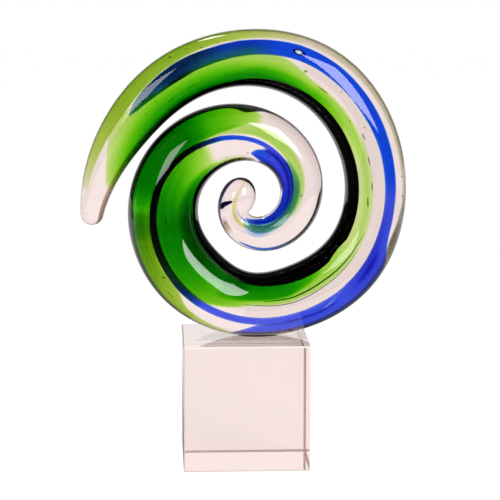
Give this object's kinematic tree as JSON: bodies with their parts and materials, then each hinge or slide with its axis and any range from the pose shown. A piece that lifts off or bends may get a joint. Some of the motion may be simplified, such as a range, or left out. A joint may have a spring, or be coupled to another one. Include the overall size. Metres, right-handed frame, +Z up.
{
  "type": "glass koru ornament",
  "caption": "Tapered clear glass rod with inlaid green, blue and dark glass, coiled into an unfurling frond and bonded upright on a bevelled clear glass cube.",
  "frame": {"origin": "middle of the base block's underside", "axes": "+Z up, from the block through the coil; +X to the right as seen from the front, away from the coil's free tail; +Y to the back, square to the plane of the coil"},
  "size_m": [0.1557, 0.06, 0.2072],
  "materials": {
    "base_glass": "clear polished glass with a narrow bevel, very faint pink",
    "bond": "clear cured adhesive",
    "clear_glass": "clear fire-polished art glass, faint pink",
    "green_glass": "transparent green glass, yellow-green where thin",
    "blue_glass": "deep cobalt blue glass",
    "dark_glass": "near-black glass with a blue cast",
    "violet_glass": "very dark violet-blue glass"
  },
  "bodies": {
    "root": {"base_block": "base_glass", "bond_layer": "bond", "clear_rod": "clear_glass", "green_overlay": "green_glass", "blue_band": "blue_glass", "blue_thread": "blue_glass", "blue_curl_band": "blue_glass", "dark_edge_band": "dark_glass", "outer_edge_thread": "violet_glass"}
  },
  "joints": []
}
